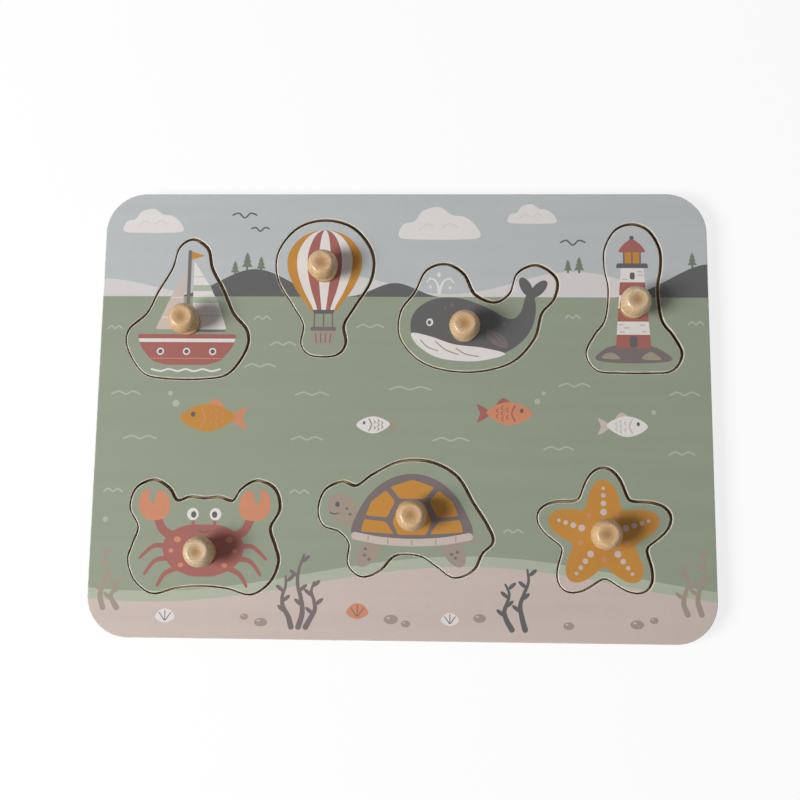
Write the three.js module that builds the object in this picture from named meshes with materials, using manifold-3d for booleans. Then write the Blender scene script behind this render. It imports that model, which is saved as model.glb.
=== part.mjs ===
// A wooden peg puzzle: a printed sheet with seven cut-outs, glued on a backing board,
// and seven lift-out picture pieces, each carried by a turned knob that is screwed on from below.
// Millimetres, +Z up. The origin is the centre of the board's underside, +X runs along its long side.
import * as THREE from "three";
import { mergeVertices } from "three/addons/utils/BufferGeometryUtils.js";
import Module from "manifold-3d";

const wasm = await Module();
wasm.setup();

// Board
const boardWidth = 300;
const boardDepth = 220;
const boardCornerRadius = 20;
const backingThickness = 3;
const sheetThickness = 5; // the printed sheet and the pieces, which are sawn out of it
const edgeRounding = 0.45; // the eased edge of every sawn board
const sawGap = 1; // all round a piece, between it and its cut-out
const pieceRest = [-0.4, -0.3]; // where a loose piece lies in its cut-out, from the cut-out's middle

// Knob, turned in one piece
const knobHeight = 15;
const knobHeadDiameter = 15;
const knobFootDiameter = 13.2;
const knobNeckDiameter = 10.6;
const knobFootHeight = 1.4;
const knobNeckHeight = 3.6; // where the neck is narrowest
const knobHeadHeight = 9.6; // where the head is widest
const knobEdgeRounding = 0.5;
const knobShoulderRise = 2.6; // how far the head's side reaches up before it turns in
const knobRimWidth = 0.7; // the level run of the rim, outside the dish
const knobDishDiameter = 9.2;
const knobDishDepth = 0.5;
const knobDishEasing = 1.2; // the level run of the rim, inside the dish
const knobDishFloor = 1.6; // the level run of the dish's floor, from its middle

// Countersunk screw that holds a knob on its piece
const screwLength = 12;
const screwShankDiameter = 2.8;
const screwHeadDiameter = 5.6;
const screwHeadHeight = 1.8;
const screwTipLength = 2.4;
const screwSink = 0.3; // how far the head lies inside the piece's underside
const screwClearance = 0.25; // all round the screw, in the piece and in the knob
const screwRecessWidth = 0.7;
const screwRecessSpan = 3;
const screwRecessDepth = 0.9;

// Facets
const outlineSteps = 3; // for each span between two points of a picture's outline
const cornerSteps = 5;
const profileSteps = 3;
const knobSides = 20;
const screwSides = 12;

// The five-armed star's outline, in half sizes of the piece: its arms swell out of a round body.
const starArms = 5;
const starBody = 0.81;
const starSwell = 0.18;
const starPointsPerArm = 4;

function starOutline() {
  const count = starArms * starPointsPerArm;
  return Array.from({ length: count }, (_, i) => {
    const angle = Math.PI / 2 + (2 * Math.PI * i) / count;
    const reach = starBody + starSwell * Math.cos(starArms * (angle - Math.PI / 2));
    return [reach * Math.cos(angle), reach * Math.sin(angle)];
  });
}

// The right half of an outline that is the same on both sides, from its top to its bottom, made whole.
function mirrored(rightHalf) {
  const leftHalf = rightHalf.filter(([x]) => x > 0).map(([x, y]) => [-x, y]);
  return [...rightHalf, ...leftHalf.reverse()];
}

// Each picture piece: its own size, how far it sits above its row's middle line, where its knob stands
// from the piece's middle, its colour, and its outline's points in half widths and half heights.
const sailboat = {
  name: "sailboat",
  width: 60,
  height: 70,
  raise: -4,
  knob: [0, -7],
  colour: 0xd9d5d1,
  outline: [
    [0.04, 1],
    [0.28, 0.86],
    [0.36, 0.58],
    [0.56, 0.26],
    [0.74, -0.08],
    [0.97, -0.32],
    [0.97, -0.58],
    [0.7, -0.92],
    [0.3, -1],
    [-0.3, -1],
    [-0.7, -0.92],
    [-0.97, -0.58],
    [-0.97, -0.32],
    [-0.68, -0.08],
    [-0.5, 0.24],
    [-0.28, 0.58],
    [-0.18, 0.88],
  ],
};
const balloon = {
  name: "balloon",
  width: 48,
  height: 68,
  raise: 7,
  knob: [0, 9],
  colour: 0xc48a38,
  outline: mirrored([
    [0, 1],
    [0.58, 0.88],
    [0.96, 0.52],
    [0.95, 0.12],
    [0.62, -0.28],
    [0.4, -0.56],
    [0.44, -0.84],
    [0.24, -1],
  ]),
};
const whale = {
  name: "whale",
  width: 78,
  height: 54,
  raise: -8,
  knob: [-7, -6],
  colour: 0x5b5b5b,
  outline: [
    [-0.42, 0.98],
    [-0.2, 0.8],
    [-0.06, 0.42],
    [0.2, 0.26],
    [0.4, 0.44],
    [0.5, 0.82],
    [0.74, 0.96],
    [0.97, 0.72],
    [0.94, 0.36],
    [0.78, 0.08],
    [0.68, -0.4],
    [0.38, -0.84],
    [-0.14, -1],
    [-0.66, -0.86],
    [-0.97, -0.42],
    [-0.98, 0.08],
    [-0.8, 0.46],
    [-0.66, 0.86],
  ],
};
const lighthouse = {
  name: "lighthouse",
  width: 46,
  height: 74,
  raise: 2,
  knob: [0, -4],
  colour: 0xdcd8d4,
  outline: mirrored([
    [0, 1],
    [0.34, 0.92],
    [0.56, 0.68],
    [0.58, 0.42],
    [0.5, 0.1],
    [0.58, -0.3],
    [0.82, -0.52],
    [0.99, -0.76],
    [0.78, -0.97],
    [0.3, -1],
  ]),
};
const crab = {
  name: "crab",
  width: 72,
  height: 54,
  raise: -7,
  knob: [0, -7],
  colour: 0x9e5650,
  outline: mirrored([
    [0, 0.68],
    [0.2, 0.7],
    [0.38, 0.64],
    [0.5, 0.86],
    [0.7, 1],
    [0.93, 0.86],
    [1, 0.52],
    [0.88, 0.18],
    [0.95, -0.14],
    [1, -0.42],
    [0.9, -0.76],
    [0.66, -0.98],
    [0.34, -0.88],
    [0, -0.84],
  ]),
};
const turtle = {
  name: "turtle",
  width: 84,
  height: 56,
  raise: 3,
  knob: [3, 1],
  colour: 0x7f8d70,
  outline: [
    [-1, 0.14],
    [-0.93, 0.46],
    [-0.74, 0.6],
    [-0.57, 0.54],
    [-0.38, 0.74],
    [-0.07, 0.96],
    [0.27, 0.96],
    [0.57, 0.72],
    [0.76, 0.26],
    [0.92, -0.12],
    [0.98, -0.38],
    [0.86, -0.58],
    [0.76, -0.86],
    [0.55, -0.98],
    [0.36, -0.8],
    [0.16, -0.62],
    [-0.12, -0.62],
    [-0.3, -0.88],
    [-0.5, -0.98],
    [-0.65, -0.78],
    [-0.64, -0.44],
    [-0.76, -0.22],
    [-0.94, -0.12],
  ],
};
const starfish = {
  name: "starfish",
  width: 66,
  height: 64,
  raise: -4,
  knob: [0, 0],
  colour: 0xc98a3c,
  outline: starOutline(),
};
const rows = [
  { middle: boardDepth / 4, pictures: [sailboat, balloon, whale, lighthouse] },
  { middle: -boardDepth / 4, pictures: [crab, turtle, starfish] },
];

const colours = { sheet: 0x929f88, backing: 0xcdb999, knob: 0xc79a62, screw: 0xb9b9b4 };
const roughness = { print: 0.6, bareWood: 0.7, lacquer: 0.35, zinc: 0.35 };

function finish(color, rough, metalness = 0) {
  return new THREE.MeshStandardMaterial({ color, roughness: rough, metalness });
}

function named(name, geometry, material) {
  const mesh = new THREE.Mesh(geometry, material);
  mesh.name = name;
  return mesh;
}

// Solids, for the cuts that a single revolve or extrusion can't make

function solidOf(geometry) {
  const bare = geometry.clone();
  bare.deleteAttribute("normal");
  bare.deleteAttribute("uv");
  const merged = mergeVertices(bare);
  return new wasm.Manifold(
    new wasm.Mesh({
      numProp: 3,
      vertProperties: new Float32Array(merged.getAttribute("position").array),
      triVerts: new Uint32Array(merged.index.array),
    }),
  );
}

function geometryOf(solid) {
  const { vertProperties, triVerts } = solid.getMesh();
  const geometry = new THREE.BufferGeometry();
  geometry.setAttribute("position", new THREE.BufferAttribute(vertProperties, 3));
  geometry.setIndex(new THREE.BufferAttribute(triVerts, 1));
  geometry.computeVertexNormals();
  return geometry;
}

// Outlines, as counter-clockwise lists of points

function smoothOutline({ width, height, outline }) {
  const points = outline.map(([x, y]) => new THREE.Vector3((x * width) / 2, (y * height) / 2, 0));
  const curve = new THREE.CatmullRomCurve3(points, true, "catmullrom", 0.5);
  const sampled = curve.getPoints(points.length * outlineSteps).slice(0, -1);
  const flat = sampled.map(({ x, y }) => new THREE.Vector2(x, y));
  return THREE.ShapeUtils.isClockWise(flat) ? flat.reverse() : flat;
}

function grown(outline, distance) {
  const count = outline.length;
  return outline.map((point, i) => {
    const along = outline[(i + 1) % count].clone().sub(outline[(i + count - 1) % count]);
    const outward = new THREE.Vector2(along.y, -along.x).normalize();
    return point.clone().addScaledVector(outward, distance);
  });
}

function boardShape() {
  const x = boardWidth / 2 - boardCornerRadius;
  const y = boardDepth / 2 - boardCornerRadius;
  const shape = new THREE.Shape();
  shape.absarc(x, y, boardCornerRadius, 0, Math.PI / 2);
  shape.absarc(-x, y, boardCornerRadius, Math.PI / 2, Math.PI);
  shape.absarc(-x, -y, boardCornerRadius, Math.PI, 1.5 * Math.PI);
  shape.absarc(x, -y, boardCornerRadius, 1.5 * Math.PI, 2 * Math.PI);
  shape.closePath();
  return shape;
}

// A sawn board from z = 0 to its thickness, with both faces' edges eased.
function sawnBoard(shape, thickness) {
  const geometry = new THREE.ExtrudeGeometry(shape, {
    depth: thickness - 2 * edgeRounding,
    curveSegments: cornerSteps,
    bevelEnabled: true,
    bevelSegments: 1,
    bevelThickness: edgeRounding,
    bevelSize: edgeRounding,
    bevelOffset: -edgeRounding,
  });
  return geometry.translate(0, 0, edgeRounding);
}

// A turned solid from its half profile, given as radius and height.
function turned(profile, sides) {
  return new THREE.LatheGeometry(profile, sides).rotateX(Math.PI / 2);
}

// The screw: a flat countersunk head with a cross recess, a plain shank and a pointed tip.
function screwGeometry() {
  const profile = [
    new THREE.Vector2(0, 0),
    new THREE.Vector2(screwHeadDiameter / 2, 0),
    new THREE.Vector2(screwShankDiameter / 2, screwHeadHeight),
    new THREE.Vector2(screwShankDiameter / 2, screwLength - screwTipLength),
    new THREE.Vector2(0, screwLength),
  ];
  const body = solidOf(turned(profile, screwSides));
  const bar = new THREE.BoxGeometry(screwRecessSpan, screwRecessWidth, 2 * screwRecessDepth);
  const crossBar = bar.clone().rotateZ(Math.PI / 2);
  return geometryOf(body.subtract(solidOf(bar)).subtract(solidOf(crossBar)));
}

// The hole a screw takes in a piece: its head's countersink, open below, and its shank's way through.
function screwCutter() {
  const headRadius = screwHeadDiameter / 2 + screwClearance;
  const shankRadius = screwShankDiameter / 2 + screwClearance;
  const profile = [
    new THREE.Vector2(0, -screwSink),
    new THREE.Vector2(headRadius, -screwSink),
    new THREE.Vector2(headRadius, screwSink),
    new THREE.Vector2(shankRadius, screwSink + screwHeadHeight),
    new THREE.Vector2(shankRadius, sheetThickness + screwSink),
    new THREE.Vector2(0, sheetThickness + screwSink),
  ];
  return turned(profile, screwSides);
}

// The knob's half profile: up the screw's blind hole, round the foot, in at the neck, over the head
// and down into the dish.
function knobProfile() {
  const holeRadius = screwShankDiameter / 2 + screwClearance;
  const holeDepth = screwSink + screwLength - sheetThickness + screwClearance;
  const foot = knobFootDiameter / 2;
  const neck = knobNeckDiameter / 2;
  const head = knobHeadDiameter / 2;
  const dish = knobDishDiameter / 2;
  const dishFloor = knobHeight - knobDishDepth;
  const throat = (knobNeckHeight + knobHeadHeight) / 2;
  const shoulder = knobHeadHeight + knobShoulderRise;
  const path = new THREE.Path();
  path.moveTo(0, holeDepth);
  path.lineTo(holeRadius, holeDepth - screwTipLength);
  path.lineTo(holeRadius, 0);
  path.lineTo(foot - knobEdgeRounding, 0);
  path.lineTo(foot, knobEdgeRounding);
  path.lineTo(foot, knobFootHeight);
  path.quadraticCurveTo(neck, knobFootHeight, neck, knobNeckHeight);
  path.bezierCurveTo(neck, throat, head, throat, head, knobHeadHeight);
  path.bezierCurveTo(head, shoulder, dish + knobRimWidth, knobHeight, dish, knobHeight);
  path.bezierCurveTo(dish - knobDishEasing, knobHeight, knobDishFloor, dishFloor, 0, dishFloor);
  return path.getPoints(profileSteps);
}

// Assembly

const puzzle = new THREE.Group();
const sheetShape = boardShape();

function pictureGroup(picture, x, y) {
  const [knobX, knobY] = picture.knob;
  const outline = smoothOutline(picture);
  const cutOut = grown(outline, sawGap).map((point) => point.add(new THREE.Vector2(x, y)));
  sheetShape.holes.push(new THREE.Path(cutOut));

  const blank = solidOf(sawnBoard(new THREE.Shape(outline), sheetThickness));
  const hole = solidOf(screwCutter().translate(knobX, knobY, 0));
  const sawn = geometryOf(blank.subtract(hole));
  const piece = named(`${picture.name}_piece`, sawn, finish(picture.colour, roughness.print));
  const lacquered = finish(colours.knob, roughness.lacquer);
  const knob = named(`${picture.name}_knob`, turned(knobProfile(), knobSides), lacquered);
  knob.position.set(knobX, knobY, sheetThickness);
  const screw = named(`${picture.name}_screw`, screwGeometry(), finish(colours.screw, roughness.zinc, 1));
  screw.position.set(knobX, knobY, screwSink);

  const [restX, restY] = pieceRest;
  const group = new THREE.Group();
  group.position.set(x + restX, y + restY, backingThickness);
  group.add(piece, knob, screw);
  return group;
}

// A row's pieces share the free width of the board equally, on both sides and between them.
for (const { middle, pictures } of rows) {
  const free = boardWidth - pictures.reduce((sum, { width }) => sum + width, 0);
  const space = free / (pictures.length + 1);
  let left = -boardWidth / 2 + space;
  for (const picture of pictures) {
    puzzle.add(pictureGroup(picture, left + picture.width / 2, middle + picture.raise));
    left += picture.width + space;
  }
}

const bareWood = finish(colours.backing, roughness.bareWood);
const backing = named("backing_board", sawnBoard(boardShape(), backingThickness), bareWood);
const printed = finish(colours.sheet, roughness.print);
const sheet = named("frame_board", sawnBoard(sheetShape, sheetThickness), printed);
sheet.position.z = backingThickness;
puzzle.add(backing, sheet);

export default puzzle;
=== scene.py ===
"""The looks of a wooden peg puzzle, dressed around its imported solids.

A printed board holds seven lift-out picture pieces, each with a turned and lacquered knob.
Lengths are in millimetres unless a name says otherwise, in the part's own frame:
+X along the board's long side, +Y up the picture and +Z up, the way the pieces lift out.
"""

import math

import bpy
from mathutils import Matrix, Vector
from mathutils.geometry import tessellate_polygon


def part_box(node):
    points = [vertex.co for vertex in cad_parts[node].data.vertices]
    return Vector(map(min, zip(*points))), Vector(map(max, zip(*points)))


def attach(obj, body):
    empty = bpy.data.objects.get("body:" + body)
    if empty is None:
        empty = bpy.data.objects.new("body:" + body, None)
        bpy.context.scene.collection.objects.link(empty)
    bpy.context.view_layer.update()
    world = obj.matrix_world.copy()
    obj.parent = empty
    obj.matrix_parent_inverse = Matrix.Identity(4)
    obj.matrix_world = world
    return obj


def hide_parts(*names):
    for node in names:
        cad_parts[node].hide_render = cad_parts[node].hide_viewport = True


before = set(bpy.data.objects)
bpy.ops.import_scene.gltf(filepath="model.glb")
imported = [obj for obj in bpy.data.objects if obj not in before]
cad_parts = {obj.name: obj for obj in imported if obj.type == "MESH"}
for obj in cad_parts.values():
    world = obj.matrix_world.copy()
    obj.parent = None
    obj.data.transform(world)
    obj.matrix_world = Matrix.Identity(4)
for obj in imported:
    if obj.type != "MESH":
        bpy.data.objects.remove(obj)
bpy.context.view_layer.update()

MM = 0.001

# The board and the pieces, as the solids have them
CORNER_RADIUS = 20
EDGE_ROUNDING = 0.45
SAW_GAP = 1
PIECE_REST = (-0.4, -0.3)  # how far a piece lies off the middle of its cut-out
STAR_ARMS = 5
STAR_BODY = 0.81
STAR_SWELL = 0.18

# The turned knob: its radii, its heights above the foot, and the level runs of its rim and dish
KNOB_FOOT_RADIUS = 6.6
KNOB_NECK_RADIUS = 5.3
KNOB_HEAD_RADIUS = 7.5
KNOB_DISH_RADIUS = 4.6
KNOB_FOOT_EDGE = 0.5
KNOB_FOOT_HEIGHT = 1.4
KNOB_NECK_HEIGHT = 3.6
KNOB_HEAD_HEIGHT = 9.6
KNOB_SHOULDER_RISE = 2.6
KNOB_HEIGHT = 15
KNOB_RIM_WIDTH = 0.7
KNOB_DISH_DEPTH = 0.5
KNOB_DISH_EASING = 1.2
KNOB_DISH_RUN = 1.6

# The countersunk screw
SCREW_SINK = 0.3
SCREW_HEAD_RADIUS = 2.8
SCREW_HEAD_HEIGHT = 1.8
SCREW_HEAD_EDGE = 0.12
SCREW_SHANK_RADIUS = 1.4
SCREW_TIP_LENGTH = 2.4
SCREW_CLEARANCE = 0.25
SCREW_RECESS_SPAN = 3
SCREW_RECESS_WIDTH = 0.7
SCREW_RECESS_DEPTH = 0.9
SCREW_RECESS_TAPER = 0.85  # the width of the cross's arms at their ends, as a share

# How finely the meshes are cut
OUTLINE_STEPS = 10
STAR_STEPS = 100
CORNER_STEPS = 16
EDGE_STEPS = 5
HOLE_STEPS = 32
KNOB_SIDES = 72
KNOB_STEPS = 9
SMOOTH_ANGLE_DEGREES = 40

# The films of ink: how far they reach into the sheet, and how much higher each lies than the one before
INK_SINK = 0.015
INK_STEP = 0.00375

# The picture's bands: heights of the horizon and of the shore, from the board's middle
HORIZON = 57
HILL_SINK = 1  # the hills' feet lie this far below the horizon, behind the sea
SHORE_HEIGHT = -84
SHORE_SWING = 9
SHORE_WAVELENGTH = 310
SHORE_PHASE = 0.9
FOAM_WIDTH = 5
# Each island on the horizon: its middle, its half width and its height
NEAR_ISLANDS = [(-74, 24, 15), (-4, 15, 8), (152, 28, 18)]
FAR_ISLANDS = [(-30, 34, 12), (84, 40, 14), (-150, 36, 10)]

# The share of pale bare-wood colour on the eased edges, partly wear and partly painted highlight, and how far
# it swings to either side
CUT_OUT_WEAR_AND_HIGHLIGHT = 0.62
BOARD_EDGE_WEAR_AND_HIGHLIGHT = 0.2
WEAR_AND_HIGHLIGHT_SWING = 0.2

# Plywood: the thickness of a ply, and the glue line's share of it
PLY_THICKNESS = 1.25
GLUE_SHARE = 0.1

# The floor and the light from all round
FLOOR_SIZE_M = 8
FLOOR_HEIGHT = 0.05  # above the underside, so that the two flat faces don't fight for the same plane
FLOOR_COLOUR = (0.97, 0.97, 0.97, 1)
FLOOR_GLOW = 0.8  # the share of the floor's white that shows without light
FLOOR_FADE = (350, 1200)  # from here to there, out from the middle, the floor turns to plain white
WORLD_LIGHT = 0.16

# The camera, as fitted to the photograph's view of the board's four edges
CAMERA_PLACE = (19.0, -79.1, 552.5)
CAMERA_TURN_DEGREES = (-8.813, -2.062, -0.351)
CAMERA_NEAR_LIMIT = 10
SENSOR_WIDTH = 36
FOCAL_LENGTH = 50.83


def ink(red, green, blue):
    """A colour written as it is seen, in 0 to 255, as Blender's linear colour."""
    def linear(value):
        value /= 255
        return value / 12.92 if value <= 0.04045 else ((value + 0.055) / 1.055) ** 2.4
    return (linear(red), linear(green), linear(blue), 1)


INKS = {
    "sky": ink(182, 186, 187),
    "sage": ink(143, 151, 132),
    "pale_sage": ink(170, 178, 158),
    "dark_sage": ink(112, 123, 104),
    "sand": ink(197, 182, 174),
    "charcoal": ink(93, 92, 92),
    "taupe": ink(115, 105, 104),
    "leaf": ink(156, 143, 128),
    "white": ink(221, 216, 213),
    "haze": ink(208, 204, 203),
    "mustard": ink(188, 133, 60),
    "coral": ink(200, 134, 102),
    "terracotta": ink(157, 97, 90),
}


def sheet_heights(node="frame_board"):
    """The heights of a sheet's underside and of its top."""
    low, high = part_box(node)
    return low.z / MM, high.z / MM


# Materials

class Nodes:
    """A node tree, with short ways to add and link its nodes."""

    def __init__(self, tree):
        self.tree = tree

    def put(self, socket, value):
        """Links another node's output to the socket, or sets a constant on it."""
        if isinstance(value, bpy.types.NodeSocket):
            self.tree.links.new(value, socket)
        else:
            socket.default_value = value

    def add(self, kind, inputs=(), **settings):
        node = self.tree.nodes.new("ShaderNode" + kind)
        for key, value in settings.items():
            setattr(node, key, value)
        for key, value in dict(inputs).items():
            self.put(node.inputs[key], value)
        return node

    def math(self, operation, first, second=0.0):
        return self.add("Math", {0: first, 1: second}, operation=operation).outputs[0]

    def mix(self, factor, first, second, blend="MIX"):
        node = self.add("Mix", {0: factor, 6: first, 7: second}, data_type="RGBA", blend_type=blend)
        return node.outputs[2]

    def noise(self, per_metre, stretch=(1, 1, 1), detail=3.0):
        """Noise on the object's own coordinates: features per metre, times the stretch of each axis."""
        place = self.add("TexCoord").outputs["Object"]
        stretched = self.add("VectorMath", {0: place, 1: stretch}, operation="MULTIPLY").outputs[0]
        inputs = {"Vector": stretched, "Scale": per_metre, "Detail": detail}
        return self.add("TexNoise", inputs).outputs["Fac"]

    def remap(self, value, low, high, to_low, to_high):
        inputs = {"Value": value, "From Min": low, "From Max": high, "To Min": to_low, "To Max": to_high}
        return self.add("MapRange", inputs).outputs["Result"]

    def place(self):
        """The point's own x, y and z, in millimetres."""
        parts = self.add("SeparateXYZ", {0: self.add("TexCoord").outputs["Object"]}).outputs
        return [self.math("MULTIPLY", part, 1 / MM) for part in parts]

    def facing_up(self):
        """The z of the point's own normal: 1 on a level top, 0 on an upright wall."""
        return self.add("SeparateXYZ", {0: self.add("TexCoord").outputs["Normal"]}).outputs[2]

    def seen(self):
        """1 for camera, glossy and clear rays, and 0 for those that carry light."""
        path = self.add("LightPath").outputs
        either = self.math("MAXIMUM", path["Is Camera Ray"], path["Is Glossy Ray"])
        return self.math("MAXIMUM", either, path["Is Transmission Ray"])


class Shader(Nodes):
    """A material's nodes, with its surface."""

    def __init__(self, name):
        self.material = bpy.data.materials.new(name)
        self.material.use_nodes = True
        super().__init__(self.material.node_tree)
        self.surface = self.tree.nodes["Principled BSDF"]

    def set(self, name, value):
        self.put(self.surface.inputs[name], value)

    def bump(self, height, strength, depth):
        inputs = {"Height": height, "Strength": strength, "Distance": depth * MM}
        self.set("Normal", self.add("Bump", inputs).outputs["Normal"])


def printed_finish(shader, colour):
    """Matt ink on sanded plywood: the grain shows through as faint streaks along the board."""
    streaks = shader.noise(9, stretch=(1, 14, 1), detail=5)
    mottle = shader.noise(420, detail=2)
    fibre = shader.noise(900, stretch=(0.25, 1.6, 1), detail=3)
    streak_shade = shader.remap(streaks, 0.3, 0.7, 0.95, 1.0)
    mottle_shade = shader.remap(mottle, 0.3, 0.7, -0.012, 0.012)
    shade = shader.math("ADD", streak_shade, mottle_shade)
    shader.set("Base Color", shader.mix(1.0, colour, shade, "MULTIPLY"))
    shader.set("Roughness", shader.remap(mottle, 0.3, 0.7, 0.55, 0.66))
    shader.set("Specular IOR Level", 0.3)
    shader.bump(fibre, strength=0.16, depth=0.06)


def ink_material(name):
    shader = Shader("ink_" + name)
    printed_finish(shader, INKS[name])
    return shader.material


def picture_material(name, wear_and_highlight=0):
    """The picture's bands: sky, islands, sea and sand. The last argument is the share of pale bare-wood
    colour on the eased edges, partly wear and partly painted highlight.
    """
    shader = Shader(name)
    x, y, _ = shader.place()

    def hills(islands):
        height = HORIZON - HILL_SINK
        for middle, half_width, top in islands:
            across = shader.math("DIVIDE", shader.math("SUBTRACT", x, middle), half_width)
            square = shader.math("MULTIPLY", across, across)
            fall = shader.math("EXPONENT", shader.math("MULTIPLY", square, -1))
            height = shader.math("ADD", shader.math("MULTIPLY", fall, top), height)
        return height

    turn = shader.math("ADD", shader.math("MULTIPLY", x, 2 * math.pi / SHORE_WAVELENGTH), SHORE_PHASE)
    swing = shader.math("MULTIPLY", shader.math("SINE", turn), SHORE_SWING)
    shore = shader.math("ADD", swing, SHORE_HEIGHT)
    bands = [
        ("haze", hills(FAR_ISLANDS)),
        ("charcoal", hills(NEAR_ISLANDS)),
        ("sage", HORIZON),
        ("pale_sage", shader.math("ADD", shore, FOAM_WIDTH)),
        ("sand", shore),
    ]
    colour = INKS["sky"]
    for band_ink, top in bands:
        colour = shader.mix(shader.math("LESS_THAN", y, top), colour, INKS[band_ink])
    # Pale bare-wood colour on the eased edges, in patches: partly wear, partly painted highlight.
    if wear_and_highlight:
        patches = shader.noise(240, detail=2)
        share = shader.remap(patches, 0.35, 0.65, wear_and_highlight - WEAR_AND_HIGHLIGHT_SWING, wear_and_highlight + WEAR_AND_HIGHLIGHT_SWING)
        bare_wood_and_highlight = ink(226, 216, 198)
        colour = shader.mix(share, colour, bare_wood_and_highlight)
    printed_finish(shader, colour)
    return shader.material


def plywood_material():
    """Bare plywood: long grain on its faces, and thin plies with glue lines on its sawn edges. The sawn edges
    are darker than bare plywood: partly the cut's own dark colour, partly painted shade of the narrow saw
    gaps.
    """
    dark_face, pale_face = ink(196, 168, 130), ink(220, 199, 166)
    # Darker ply colours on the sawn edges: partly the cut's own colour, partly painted shade of the saw gaps.
    dark_ply, pale_ply = ink(136, 114, 84), ink(166, 147, 116)
    dark_fleck, glue = ink(108, 87, 60), ink(74, 59, 41)
    shader = Shader("plywood")
    grain = shader.noise(26, stretch=(1, 14, 14), detail=6)
    face = shader.mix(shader.remap(grain, 0.32, 0.68, 0, 1), dark_face, pale_face)
    layer = shader.math("DIVIDE", shader.place()[2], PLY_THICKNESS)
    odd = shader.math("GREATER_THAN", shader.math("FRACT", shader.math("MULTIPLY", layer, 0.5)), 0.5)
    fleck = shader.noise(600, stretch=(0.4, 0.4, 3), detail=3)
    glued = shader.math("LESS_THAN", shader.math("FRACT", layer), GLUE_SHARE)
    edge = shader.mix(odd, pale_ply, dark_ply)
    edge = shader.mix(shader.remap(fleck, 0.35, 0.7, 0, 0.5), edge, dark_fleck)
    edge = shader.mix(glued, edge, glue)
    on_face = shader.math("GREATER_THAN", shader.math("ABSOLUTE", shader.facing_up()), 0.8)
    shader.set("Base Color", shader.mix(on_face, edge, face))
    shader.set("Roughness", shader.remap(grain, 0.3, 0.7, 0.55, 0.72))
    shader.bump(shader.noise(160, stretch=(1, 10, 10), detail=5), strength=0.25, depth=0.1)
    return shader.material


def knob_material():
    """Pale hardwood turned along its grain, under a clear lacquer; each knob has its own figure.

    The dish is painted darker the deeper it goes, darkest at its middle, and has less coat there, so it is
    duller.
    """
    cool, warm, dish_darkening = ink(202, 177, 141), ink(202, 165, 117), ink(153, 109, 60)
    dark_ring, dark_pore = ink(170, 134, 96), ink(140, 106, 72)
    rim = sheet_heights()[1] + KNOB_HEIGHT
    shader = Shader("knob_wood")
    figure = shader.noise(70, stretch=(1, 1, 0.16), detail=1)
    rings = shader.math("PINGPONG", shader.math("MULTIPLY", figure, 40), 1.0)
    pores = shader.noise(1500, stretch=(1, 1, 0.08), detail=3)
    warmth = shader.remap(shader.noise(14, detail=0), 0.38, 0.62, 0, 1)
    depth = shader.remap(shader.place()[2], rim, rim - KNOB_DISH_DEPTH, 0, 1)
    dish = shader.math("MULTIPLY", shader.remap(shader.facing_up(), 0.86, 0.94, 0, 1), depth)
    colour = shader.mix(warmth, cool, warm)
    colour = shader.mix(shader.remap(rings, 0.3, 1, 0, 0.5), colour, dark_ring)
    colour = shader.mix(shader.remap(pores, 0.54, 0.75, 0, 0.45), colour, dark_pore)
    # The dish darkened with its depth, darkest at its middle.
    colour = shader.mix(shader.math("MULTIPLY", dish, 0.9), colour, dish_darkening)
    shader.set("Base Color", colour)
    shader.set("Roughness", shader.remap(pores, 0.4, 0.7, 0.42, 0.56))
    shader.set("Coat Weight", shader.remap(dish, 0, 0.6, 0.8, 0.2))
    shader.set("Coat Roughness", 0.2)
    shader.bump(pores, strength=0.12, depth=0.08)
    return shader.material


def screw_material():
    """Zinc-plated steel with a faint brushed streak."""
    dark, pale = ink(176, 175, 170), ink(212, 210, 203)
    shader = Shader("screw_steel")
    streak = shader.noise(1800, stretch=(1, 0.2, 1), detail=3)
    shader.set("Base Color", shader.mix(streak, dark, pale))
    shader.set("Roughness", shader.remap(streak, 0.3, 0.7, 0.28, 0.42))
    shader.set("Metallic", 1)
    return shader.material


MATERIALS = {
    "picture": picture_material("picture"),
    "picture_edge": picture_material("picture_edge", CUT_OUT_WEAR_AND_HIGHLIGHT),
    "board_edge": picture_material("board_edge", BOARD_EDGE_WEAR_AND_HIGHLIGHT),
    "plywood": plywood_material(),
    "knob_wood": knob_material(),
    "screw_steel": screw_material(),
}
for ink_name in INKS:
    MATERIALS[ink_name] = ink_material(ink_name)


# Outlines: counter-clockwise lists of (x, y)

def spline(points, steps, closed=True):
    """A smooth curve through the points, with as many steps to each span."""
    count = len(points)
    curve = []
    for i in range(count if closed else count - 1):
        places = [i + k if closed else min(max(i + k, 0), count - 1) for k in (-1, 0, 1, 2)]
        around = [points[place % count] for place in places]
        for step in range(steps):
            t = step / steps
            curve.append(tuple(
                0.5 * (2 * b + (c - a) * t + (2 * a - 5 * b + 4 * c - d) * t ** 2
                       + (3 * b - a - 3 * c + d) * t ** 3)
                for a, b, c, d in zip(*around)
            ))
    if not closed:
        curve.append(points[-1])
    return curve


def counter_clockwise(outline):
    following = outline[1:] + outline[:1]
    double_area = sum(x * v - u * y for (x, y), (u, v) in zip(outline, following))
    return outline if double_area > 0 else outline[::-1]


def grown(outline, distance):
    """The outline moved outwards, square to itself."""
    count = len(outline)
    moved = []
    for i, (x, y) in enumerate(outline):
        (before_x, before_y), (after_x, after_y) = outline[i - 1], outline[(i + 1) % count]
        along = Vector((after_x - before_x, after_y - before_y)).normalized()
        moved.append((x + along.y * distance, y - along.x * distance))
    return moved


def moved_by(outline, x, y):
    return [(px + x, py + y) for px, py in outline]


def placed(points, x, y, half_width, half_height):
    return [(x + u * half_width, y + v * half_height) for u, v in points]


def mirrored(right_half):
    left_half = [(-x, y) for x, y in right_half if x > 0]
    return right_half + left_half[::-1]


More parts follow.
